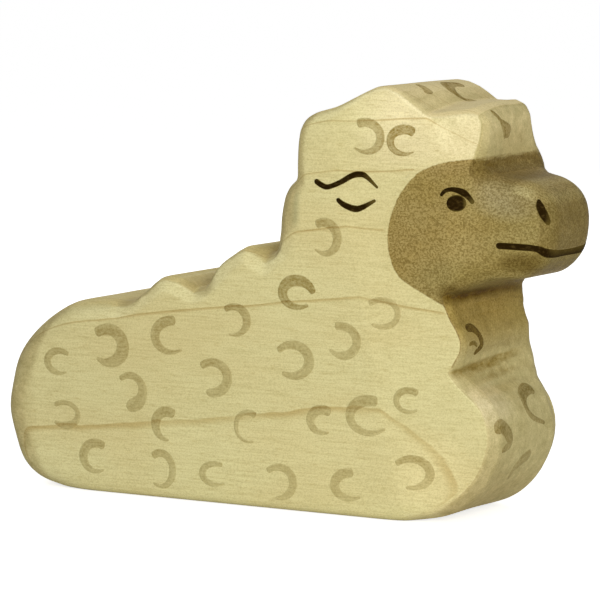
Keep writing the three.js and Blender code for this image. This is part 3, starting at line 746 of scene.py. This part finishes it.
# Eyes, nostrils, mouth and ear lines
# Fine strokes of dark brown paint from a pointed brush, laid over the stain on the face and over the bare
# wood at the ears. Each film follows the wood under it and thins out where the brush was lifted.
FILM_ROUND = 12  # points round a film
STROKE_STEPS = 64  # places along a stroke
BRUSH_REACH = 6.0  # how far off the wood a stroke's path may lie
SHARPEST_TIP = 0.05
TIP_LEFT = 0.002  # what is left of a stroke's width at its very end, squared
FILM_EDGE = 50  # degrees past which a film shows an edge
DARK_FILM = 0.08
BURIED = 0.06
DARK_BROWN = (0.016, 0.008, 0.001, 1)
DRY_BROWN = (0.055, 0.034, 0.008, 1)
DRY_BRUSH = ((0.9, 2.4, 2.4), 3.0, 0.6)
DRY_SHOWS = (0.46, 0.76)
RIM_TINT = (0.32, 0.26, 0.12, 1)  # thin paint where the brush's outer hairs ran
RIM_STEP = (0.7, 1.0, 0.0, 0.7)
LIFTED_STEP = (0.78, 1.0, 0.0, 0.45)
NOSE_RUBBED = ("X", 49.9, 50.8, 0.0, 0.5)  # the mouth has worn thin at the tip of the muzzle
DARK_SHEEN = 0.02

strokes = bpy.data.node_groups.new("brush_strokes", "GeometryNodeTree")
for name, kind in (
    ("Paths", "Geometry"),
    ("Wood", "Object"),
    ("Reach", "Float"),
    ("Film", "Float"),
    ("Buried", "Float"),
    ("Points Round", "Int"),
    ("Paint", "Material"),
):
    strokes.interface.new_socket(name, in_out="INPUT", socket_type=f"NodeSocket{kind}")
strokes.interface.new_socket("Films", in_out="OUTPUT", socket_type="NodeSocketGeometry")


def stored(name, kind="FLOAT"):
    return add(strokes, "GeometryNodeInputNamedAttribute", {"Name": name}, data_type=kind).outputs[0]


def moved(geometry, position):
    return add(strokes, "GeometryNodeSetPosition", {"Geometry": geometry, "Position": position}).outputs[0]


def vector_sum(tree, vector, scale, start):
    grown = add(tree, "ShaderNodeVectorMath", {0: vector, "Scale": scale}, operation="SCALE").outputs[0]
    return add(tree, "ShaderNodeVectorMath", {0: start, 1: grown}, operation="ADD").outputs[0]


given = add(strokes, "NodeGroupInput").outputs
ground = add(strokes, "GeometryNodeObjectInfo", {"Object": given["Wood"]}, transform_space="RELATIVE")
towards = stored("facing", "FLOAT_VECTOR")


def pressed_on():
    """Where each point meets the wood, looking along its own direction, and the wood's normal there."""
    here = add(strokes, "GeometryNodeInputPosition").outputs[0]
    back = add(strokes, "ShaderNodeVectorMath", {0: towards, "Scale": -1.0}, operation="SCALE").outputs[0]
    inputs = {
        "Target Geometry": ground.outputs["Geometry"],
        "Attribute": add(strokes, "GeometryNodeInputNormal").outputs["Normal"],
        "Source Position": vector_sum(strokes, towards, given["Reach"], here),
        "Ray Direction": back,
        "Ray Length": times(strokes, given["Reach"], 2.0),
    }
    ray = add(strokes, "GeometryNodeRaycast", inputs, data_type="FLOAT_VECTOR").outputs
    return ray["Hit Position"], ray["Attribute"]


line = add(strokes, "GeometryNodeMeshToCurve", {"Mesh": given["Paths"]}).outputs[0]
where, upright = pressed_on()
line = moved(line, where)
inputs = {"Curve": line, "Normal": upright}
line = add(strokes, "GeometryNodeSetCurveNormal", inputs, mode="FREE").outputs[0]
inputs = {"Resolution": given["Points Round"], "Radius": 1.0}
hoop = add(strokes, "GeometryNodeCurvePrimitiveCircle", inputs).outputs["Curve"]
on_hoop = parts_of(strokes, add(strokes, "GeometryNodeInputPosition").outputs[0])
for name, axis in (("level", "X"), ("across", "Y")):
    inputs = {"Geometry": hoop, "Name": name, "Value": on_hoop[axis]}
    hoop = add(strokes, "GeometryNodeStoreNamedAttribute", inputs).outputs[0]
hoop = moved(hoop, add(strokes, "ShaderNodeCombineXYZ", {"Y": on_hoop["Y"]}).outputs[0])
inputs = {"Curve": line, "Profile Curve": hoop, "Scale": stored("half_width"), "Fill Caps": True}
ribbon = add(strokes, "GeometryNodeCurveToMesh", inputs).outputs[0]
where, upright = pressed_on()
level = stored("level")
above = times(strokes, work_out(strokes, "MAXIMUM", level, 0.0), given["Film"])
below = times(strokes, work_out(strokes, "MINIMUM", level, 0.0), given["Buried"])
ribbon = moved(ribbon, vector_sum(strokes, upright, work_out(strokes, "ADD", above, below), where))
ribbon = add(strokes, "GeometryNodeRealizeInstances", {"Geometry": ribbon}).outputs[0]
inputs = {"Geometry": ribbon, "Material": given["Paint"]}
ribbon = add(strokes, "GeometryNodeSetMaterial", inputs).outputs[0]
add(strokes, "NodeGroupOutput", {"Films": ribbon})


def brushed(path, facing, widths, strength=1.0, blunt=1.0):
    """One stroke: places along it in millimetres, the way that they face, its widths, the strength of the
    paint, and how far its start is rounded."""
    share = (1 - np.cos(np.linspace(0, np.pi, STROKE_STEPS))) / 2
    path = smooth_path(path, share)
    half = np.interp(share, np.linspace(0, 1, len(widths)), widths) / 2
    first, last = half[0] * blunt, half[-1]
    travelled = np.concatenate([[0], np.cumsum(np.linalg.norm(np.diff(path, axis=0), axis=1))])
    for cap, gone in ((first, travelled), (last, travelled[-1] - travelled)):
        short = 1 - np.minimum(gone / max(cap, SHARPEST_TIP), 1)
        half = half * np.sqrt(np.clip(1 - short**2, TIP_LEFT, 1))
    facing = np.tile(np.array(facing, float), (STROKE_STEPS, 1))
    return path, facing, half, np.full(STROKE_STEPS, strength), share


def painted(name, marks, paint, film, nodes):
    """A piece of all the given strokes, pressed on the wood."""
    paths, facings, halves, strengths, shares = (np.concatenate(column) for column in zip(*marks))
    links = [(k, k + 1) for k in range(len(paths) - 1) if (k + 1) % STROKE_STEPS]
    lines = bpy.data.meshes.new(name)
    lines.from_pydata((paths * MM).tolist(), links, [])
    point_values(lines, "half_width", halves * MM)
    point_values(lines, "strength", strengths)
    point_values(lines, "along", shares)
    ways = lines.attributes.new("facing", "FLOAT_VECTOR", "POINT")
    ways.data.foreach_set("vector", facings.astype(np.float32).ravel())
    piece = blank_object(name, lines)
    brush = piece.modifiers.new("brush", "NODES")
    brush.node_group = strokes
    sizes = {
        "Wood": body,
        "Reach": BRUSH_REACH * MM,
        "Film": film * MM,
        "Buried": BURIED * MM,
        "Points Round": FILM_ROUND,
        "Paint": paint,
    }
    for item in strokes.interface.items_tree:
        if item.name in sizes:
            brush[item.identifier] = sizes[item.name]
    settle(piece)
    closed = bmesh.new()
    closed.from_mesh(piece.data)
    bmesh.ops.recalc_face_normals(closed, faces=closed.faces)
    closed.to_mesh(piece.data)
    closed.free()
    shade_smooth(piece.data)
    piece.data.set_sharp_from_angle(angle=math.radians(FILM_EDGE))
    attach(piece, "root")
    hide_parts(*nodes)


def in_box(node, shares, axes):
    """Places given as shares of a node's box, on the face that the two axes span."""
    low, high = (np.array(corner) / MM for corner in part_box(node))
    spots = np.tile((low + high) / 2, (len(shares), 1))
    for axis, column in zip(axes, np.array(shares, float).T):
        spots[:, axis] = low[axis] + column * (high[axis] - low[axis])
    return spots


dark, tree, wood, shader = finish_of("dark_brown_paint")
shader.inputs["Specular IOR Level"].default_value = DARK_SHEEN
colour = blended(tree, DARK_BROWN, DRY_BROWN, drawn(tree, wood["Place"], DRY_BRUSH, DRY_SHOWS))
rim = soft_step(tree, work_out(tree, "ABSOLUTE", attribute(tree, "across")), *RIM_STEP)
rim = work_out(tree, "MAXIMUM", rim, soft_step(tree, attribute(tree, "along"), *LIFTED_STEP))
rim = work_out(tree, "MAXIMUM", rim, zone(tree, parts_of(tree, wood["Place"]), NOSE_RUBBED))
colour = blended(tree, colour, tinted(tree, wood["Colour"], RIM_TINT, 1.0), rim)
tree.links.new(colour, shader.inputs["Base Color"])

# The strokes' paths as shares of the boxes of their nodes, and their widths in millimetres
ON_SIDE, ON_FRONT, ON_CROWN = (0, 2), (1, 2), (0, 1)
SIDES = {"right": (0, -1, 0), "left": (0, 1, 0)}
EYELID = [(0.04, 0.51), (0.16, 0.73), (0.33, 0.82), (0.5, 0.8), (0.7, 0.68), (0.85, 0.46), (0.96, 0.2)]
EYELID_WIDTHS = [0.6, 0.75, 0.8, 1.0, 1.35, 0.95, 0.75]
PUPIL = [(0.23, 0.2), (0.5, 0.21), (0.77, 0.24)]
PUPIL_WIDTHS = [2.9, 3.0, 2.9]
NOSTRIL = [(0.04, 0.98), (0.22, 0.72), (0.55, 0.38), (0.98, -0.04)]
NOSTRIL_WIDTHS = [0.5, 1.55, 1.7, 0.95]
EAR_UPPER = [
    (0.01, 0.43),
    (0.11, 0.18),
    (0.22, 0.07),
    (0.41, 0.36),
    (0.58, 0.75),
    (0.7, 0.86),
    (0.8, 0.75),
    (0.98, 0.11),
]
EAR_UPPER_WIDTHS = [0.95, 1.0, 0.85, 0.95, 1.05, 0.95, 0.4]
EAR_LOWER = [(0.02, 0.91), (0.2, 0.52), (0.47, 0.26), (0.66, 0.39), (0.98, 0.91)]
EAR_LOWER_WIDTHS = [0.75, 1.0, 1.15, 0.95, 0.5]

for side, facing in SIDES.items():
    lid = brushed(in_box(f"eye_{side}", EYELID, ON_SIDE), facing, EYELID_WIDTHS)
    pupil = brushed(in_box(f"eye_{side}", PUPIL, ON_SIDE), facing, PUPIL_WIDTHS)
    painted(f"eye_paint_{side}", [lid, pupil], dark, DARK_FILM, [f"eye_{side}"])
    nostril = brushed(in_box(f"nostril_{side}", NOSTRIL, ON_SIDE), facing, NOSTRIL_WIDTHS)
    painted(f"nostril_paint_{side}", [nostril], dark, DARK_FILM, [f"nostril_{side}"])
    upper = brushed(in_box(f"ear_upper_{side}", EAR_UPPER, ON_SIDE), facing, EAR_UPPER_WIDTHS)
    lower = brushed(in_box(f"ear_lower_{side}", EAR_LOWER, ON_SIDE), facing, EAR_LOWER_WIDTHS)
    ears = [f"ear_upper_{side}", f"ear_lower_{side}"]
    painted(f"ear_lines_{side}", [upper, lower], dark, DARK_FILM, ears)

# The mouth, from the right cheek to the middle of the muzzle in millimetres, and the same on the left
MOUTH_HALF = [
    (42.6, -11.2, 45.95),
    (46.5, -10.3, 45.78),
    (49.1, -9, 45.55),
    (50.2, -7.4, 44.8),
    (50.9, -5, 44.5),
    (51.2, -2.5, 44.42),
]
MOUTH_MIDDLE = (51.2, 0, 44.42)
MOUTH_WIDTHS = [1.2, 1.25, 1.2, 1.75, 1.6, 1.45, 1.4]
MUZZLE_MIDDLE = (43.0, 0.0, 0.0)
mouth = MOUTH_HALF + [MOUTH_MIDDLE] + [(x, -y, z) for x, y, z in reversed(MOUTH_HALF)]
lips = brushed(mouth, (1, 0, 0), MOUTH_WIDTHS + MOUTH_WIDTHS[-2::-1])
around = (lips[0] - MUZZLE_MIDDLE) * (1, 1, 0)
lips[1][:] = around / np.linalg.norm(around, axis=1)[:, None]
painted("mouth_paint", [lips], dark, DARK_FILM, ["mouth_line"])

# Wool curls on the sides
# Curls of thin tan paint, each one turn of a round brush: pressed down at the start, carried round and
# lifted off in a tail. The glaze lets the grain show, and each curl took up more or less of it.
WOOL_FILM = 0.05
WOOL_TINT = (0.37, 0.3, 0.12, 1)
WOOL_POOLS = ((1.6, 2.4, 2.4), 3.0, 0.65)
POOLS_DARK = (0.3, 0.7, 1.22, 0.74)
WOOL_STREAKS = ((1, 1, 1), 4.0, 0.6)
HAIRS_DARK = (0.36, 0.64, 1.14, 0.84)
STREAK_RUN = (1.5, 2.6, 0)  # the streaks' spread across a stroke and along it
STREAK_WANDER = 0.12
WOOL_LIFTED = (0.0, 1.0, 1.1, 0.9)  # the brush runs out of paint on its way
WOOL_RIM = (0.84, 1.0, 1.0, 0.5)
WOOL_SHEEN = 0.15
CURL_STEPS = 11
CURL_FLARE = 0.2  # how far the ends run out straight
CURL_STROKE = 1.7  # the brush's width in the height of a curl's node
CURL_BLUNT = 0.5  # a flat start, where the brush was set down
# For each curl: length, angles where it starts and ends, widths from start to end, strength of the paint
RIGHT_CURLS = [
    (4.5, 40, 308, [0.8, 1.3, 1.5, 1.2, 0.3], 0.48),
    (5.7, 143, -136, [1.8, 2.1, 2.4, 2.7, 2.0, 0.6], 0.52),
    (5.7, 69, 316, [1.7, 1.9, 1.9, 1.6, 1.0, 0.4], 0.52),
    (4.5, 140, -118, [1.1, 1.3, 1.7, 1.6, 0.9, 0.3], 0.52),
    (4.7, 143, -110, [1.0, 1.3, 1.5, 1.9, 2.6, 2.2], 0.47),
    (5.3, 144, -118, [1.3, 1.5, 1.8, 1.9, 1.9, 1.3], 0.48),
    (5.0, 140, -141, [0.9, 0.9, 1.0, 1.3, 1.5, 0.6], 0.4),
    (4.1, 44, 284, [1.7, 1.9, 1.9, 1.4, 0.4], 0.49),
    (4.2, 45, 300, [1.2, 1.0, 0.9, 0.7, 0.4], 0.4),
    (4.7, 45, 310, [1.5, 1.7, 1.9, 1.3, 0.4], 0.47),
    (4.3, 138, -133, [1.4, 1.4, 1.4, 1.4, 1.0, 0.4], 0.44),
    (4.7, 56, 315, [0.8, 1.2, 1.4, 1.1, 0.4], 0.42),
    (5.4, 4, 313, [1.2, 1.9, 2.1, 1.8, 1.3, 0.5], 0.7),
    (5.8, 153, -131, [1.1, 1.5, 1.9, 2.0, 1.6, 0.8], 0.48),
    (5.0, 121, -147, [1.4, 1.5, 1.7, 1.7, 1.5, 0.6], 0.44),
    (5.1, 146, -132, [1.0, 1.0, 1.1, 1.1, 1.1, 0.5], 0.43),
    (5.0, 146, -107, [1.1, 1.3, 1.6, 1.5, 0.6], 0.41),
    (4.1, 44, 305, [1.6, 1.8, 1.7, 1.2, 0.4], 0.44),
    (6.6, 62, 325, [1.8, 2.1, 1.8, 1.5, 1.1, 0.5], 0.44),
    (4.0, 41, 317, [1.2, 1.2, 1.2, 1.0, 0.8, 0.4], 0.49),
    (5.2, 73, 315, [1.6, 1.8, 1.8, 1.3, 0.4], 0.43),
    (5.9, 151, -111, [1.1, 1.3, 1.6, 1.7, 1.3, 0.5], 0.5),
    (4.4, 134, -139, [1.5, 1.7, 1.8, 1.6, 1.1, 0.3], 0.52),
    (4.9, 128, -140, [1.5, 1.6, 1.6, 1.5, 1.0, 0.3], 0.61),
    (4.6, 41, 315, [1.6, 1.7, 1.5, 1.3, 0.9, 0.2], 0.76),
]
LEFT_COUNT = 16
LEFT_OPEN_AHEAD = [1, 3, 5, 7, 8, 12, 13, 15, 16]


def curl(node, facing, length, start, end, widths, strength):
    low, high = (np.array(corner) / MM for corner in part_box(node))
    turn = np.radians(np.linspace(start, end, CURL_STEPS))
    run_out = 1 + CURL_FLARE * np.linspace(-1, 1, CURL_STEPS) ** 4
    height = high[2] - low[2] - CURL_STROKE
    path = np.tile((low + high) / 2, (CURL_STEPS, 1))
    path[:, 0] += np.cos(turn) * run_out * length / 2
    path[:, 2] += np.sin(turn) * run_out * height / 2
    return brushed(path, facing, widths, strength, CURL_BLUNT)


glaze, tree, wood, shader = finish_of("tan_wool_glaze")
hairs = attribute(tree, "across")
travel = attribute(tree, "along")
run = add(tree, "ShaderNodeCombineXYZ", {"X": hairs, "Y": travel}).outputs[0]
run = add(tree, "ShaderNodeVectorMath", {0: run, 1: STREAK_RUN}, operation="MULTIPLY").outputs[0]
run = vector_sum(tree, wood["Place"], STREAK_WANDER, run)
amount = times(
    tree,
    attribute(tree, "strength"),
    drawn(tree, wood["Place"], WOOL_POOLS, POOLS_DARK),
    drawn(tree, run, WOOL_STREAKS, HAIRS_DARK),
    soft_step(tree, travel, *WOOL_LIFTED),
    soft_step(tree, work_out(tree, "ABSOLUTE", hairs), *WOOL_RIM),
)
second_coat = work_out(tree, "SUBTRACT", amount, 1.0, clamp=True)
colour = glazed(tree, wood["Colour"], [(WOOL_TINT, amount), (WOOL_TINT, second_coat)])
shader.inputs["Specular IOR Level"].default_value = WOOL_SHEEN
tree.links.new(colour, shader.inputs["Base Color"])

nodes = [f"wool_curl_right_{k + 1}" for k in range(len(RIGHT_CURLS))]
marks = [curl(node, SIDES["right"], *row) for node, row in zip(nodes, RIGHT_CURLS)]
painted("wool_curls_right", marks, glaze, WOOL_FILM, nodes)

opens_ahead = [row for row in RIGHT_CURLS if row[2] > 0]
opens_behind = [row for row in RIGHT_CURLS if row[2] < 0]
nodes = [f"wool_curl_left_{k + 1}" for k in range(LEFT_COUNT)]
marks = []
for k, node in enumerate(nodes):
    rows = opens_ahead if k + 1 in LEFT_OPEN_AHEAD else opens_behind
    marks.append(curl(node, SIDES["left"], *rows[k % len(rows)]))
painted("wool_curls_left", marks, glaze, WOOL_FILM, nodes)

# Wool strokes on the front and the crown
# The same tan paint, freer and darker, because the sawn faces across the grain drink it in: curls on the
# neck and the breast, one stroke on the forehead and two on the crown.
FRONT_STROKES = [
    (
        "wool_curl_neck",
        [(0.08, 0.82), (0.51, 0.79), (0.76, 0.52), (0.82, 0.27), (0.44, 0.07)],
        [1.4, 2.0, 1.7, 1.4, 1.3],
        1.6,
    ),
    (
        "wool_curl_neck",
        [(0.02, 0.38), (0.33, 0.4), (0.56, 0.29)],
        [0.7, 0.9, 0.8],
        1.1,
    ),
    (
        "wool_curl_chest",
        [(0.78, 0.77), (0.54, 0.87), (0.16, 0.75), (0.09, 0.46), (0.3, 0.21), (0.8, 0.0)],
        [1.4, 2.4, 2.2, 1.5, 1.2, 0.7],
        0.64,
    ),
    (
        "wool_curl_breast",
        [(0.12, 0.68), (0.45, 0.79), (0.81, 0.5), (0.9, 0.21), (0.48, 0.05)],
        [2.0, 2.6, 2.5, 2.0, 0.9],
        0.62,
    ),
    (
        "wool_stroke_breast",
        [(0.9, 0.95), (0.4, 0.77), (0.05, 0.5), (0.02, 0.1)],
        [2.3, 2.4, 1.8, 0.9],
        0.42,
    ),
    (
        "wool_stroke_forehead",
        [(0.0, 1.18), (0.2, 1.0), (0.45, 0.75), (0.75, 0.47), (0.95, 0.25), (1.05, 0.08)],
        [0.6, 1.0, 0.8, 2.5, 3.6, 2.6],
        0.7,
    ),
]
CROWN_STROKES = [
    (
        "wool_stroke_crown",
        [(0.1, 0.98), (0.55, 0.92), (0.98, 0.76), (1.05, 0.4)],
        [0.8, 1.6, 1.9, 0.8],
        0.72,
    ),
    (
        "wool_curl_crown",
        [(0.34, 1.0), (0.2, 0.3), (0.6, -0.15), (1.05, -0.1), (1.2, 0.4)],
        [1.8, 2.8, 2.2, 1.2, 0.6],
        0.82,
    ),
]
for name, rows, facing, axes in (
    ("wool_strokes_front", FRONT_STROKES, (1, 0, 0), ON_FRONT),
    ("wool_strokes_crown", CROWN_STROKES, (0, 0, 1), ON_CROWN),
):
    marks = []
    for node, path, widths, strength in rows:
        marks.append(brushed(in_box(node, path, axes), facing, widths, strength))
    painted(name, marks, glaze, WOOL_FILM, sorted({row[0] for row in rows}))

# Stage
# A plain pale floor that runs on to a white backdrop, and soft light from beside the camera.
FLOOR_REACH = 6.0
FLOOR_TONE = (0.8, 0.8, 0.8, 1)
FLOOR_GLOW = 0.73  # what the eye's rays add to the floor, so that it meets the white backdrop
SKY_STRENGTH = 0.42


def seen(tree):
    """1 for the rays that show the background itself, 0 for the light that falls on the lamb."""
    path = add(tree, "ShaderNodeLightPath").outputs
    direct = work_out(tree, "ADD", path["Is Camera Ray"], path["Is Glossy Ray"])
    return work_out(tree, "ADD", direct, path["Is Transmission Ray"], clamp=True)


floor_mesh = bpy.data.meshes.new("floor")
corners = [(sx * FLOOR_REACH, sy * FLOOR_REACH, 0) for sx, sy in ((-1, -1), (1, -1), (1, 1), (-1, 1))]
floor_mesh.from_pydata(corners, [], [(0, 1, 2, 3)])
floor = blank_object("floor", floor_mesh)
paper = bpy.data.materials.new("pale_paper")
paper.use_nodes = True
tree = paper.node_tree
tree.nodes.clear()
sheet = add(tree, "ShaderNodeBsdfDiffuse", {"Color": FLOOR_TONE})
glow = add(tree, "ShaderNodeEmission", {"Strength": times(tree, seen(tree), FLOOR_GLOW)})
both = add(tree, "ShaderNodeAddShader", {0: sheet.outputs[0], 1: glow.outputs[0]})
add(tree, "ShaderNodeOutputMaterial", {"Surface": both.outputs[0]})
floor.data.materials.append(paper)

world = bpy.data.worlds.new("studio")
bpy.context.scene.world = world
world.use_nodes = True
tree = world.node_tree
tree.nodes.clear()
strength = work_out(tree, "MULTIPLY_ADD", seen(tree), 1 - SKY_STRENGTH, SKY_STRENGTH)
sky = add(tree, "ShaderNodeBackground", {"Strength": strength})
add(tree, "ShaderNodeOutputWorld", {"Surface": sky.outputs[0]})

VIEW_ACROSS = 30.05  # degrees round from the right side towards the front
VIEW_UP = 6.35
VIEW_DISTANCE = 576.0
VIEW_MIDDLE = Vector((0.245, 0, 33.8))
VIEW_LENS = 204.0
VIEW_NEAREST = 0.01
KEY_SOFTBOX = (38.5, 11.0, 460.0, 240.0, 1.5)  # degrees across and up, distance, size, power
FILL_SOFTBOX = (225.0, 32.0, 600.0, 400.0, 1.1)  # lifts the far side and the top


def aimed(thing, across, up, distance):
    """Sets a camera or a lamp at a place round the lamb, looking at its middle."""
    a, e = math.radians(across), math.radians(up)
    outwards = Vector((math.sin(a) * math.cos(e), -math.cos(a) * math.cos(e), math.sin(e)))
    thing.location = (VIEW_MIDDLE + distance * outwards) * MM
    thing.rotation_euler = outwards.to_track_quat("Z", "Y").to_euler()


lens = bpy.data.cameras.new("camera")
lens.lens = VIEW_LENS
lens.clip_start = VIEW_NEAREST
camera = blank_object("camera", lens)
aimed(camera, VIEW_ACROSS, VIEW_UP, VIEW_DISTANCE)
bpy.context.scene.camera = camera

for name, softbox in (("softbox", KEY_SOFTBOX), ("fill_softbox", FILL_SOFTBOX)):
    across, up, distance, size, power = softbox
    light = bpy.data.lights.new(name, "AREA")
    light.energy = power
    light.size = size * MM
    aimed(blank_object(name, light), across, up, distance)

bpy.context.scene.view_settings.view_transform = "Standard"
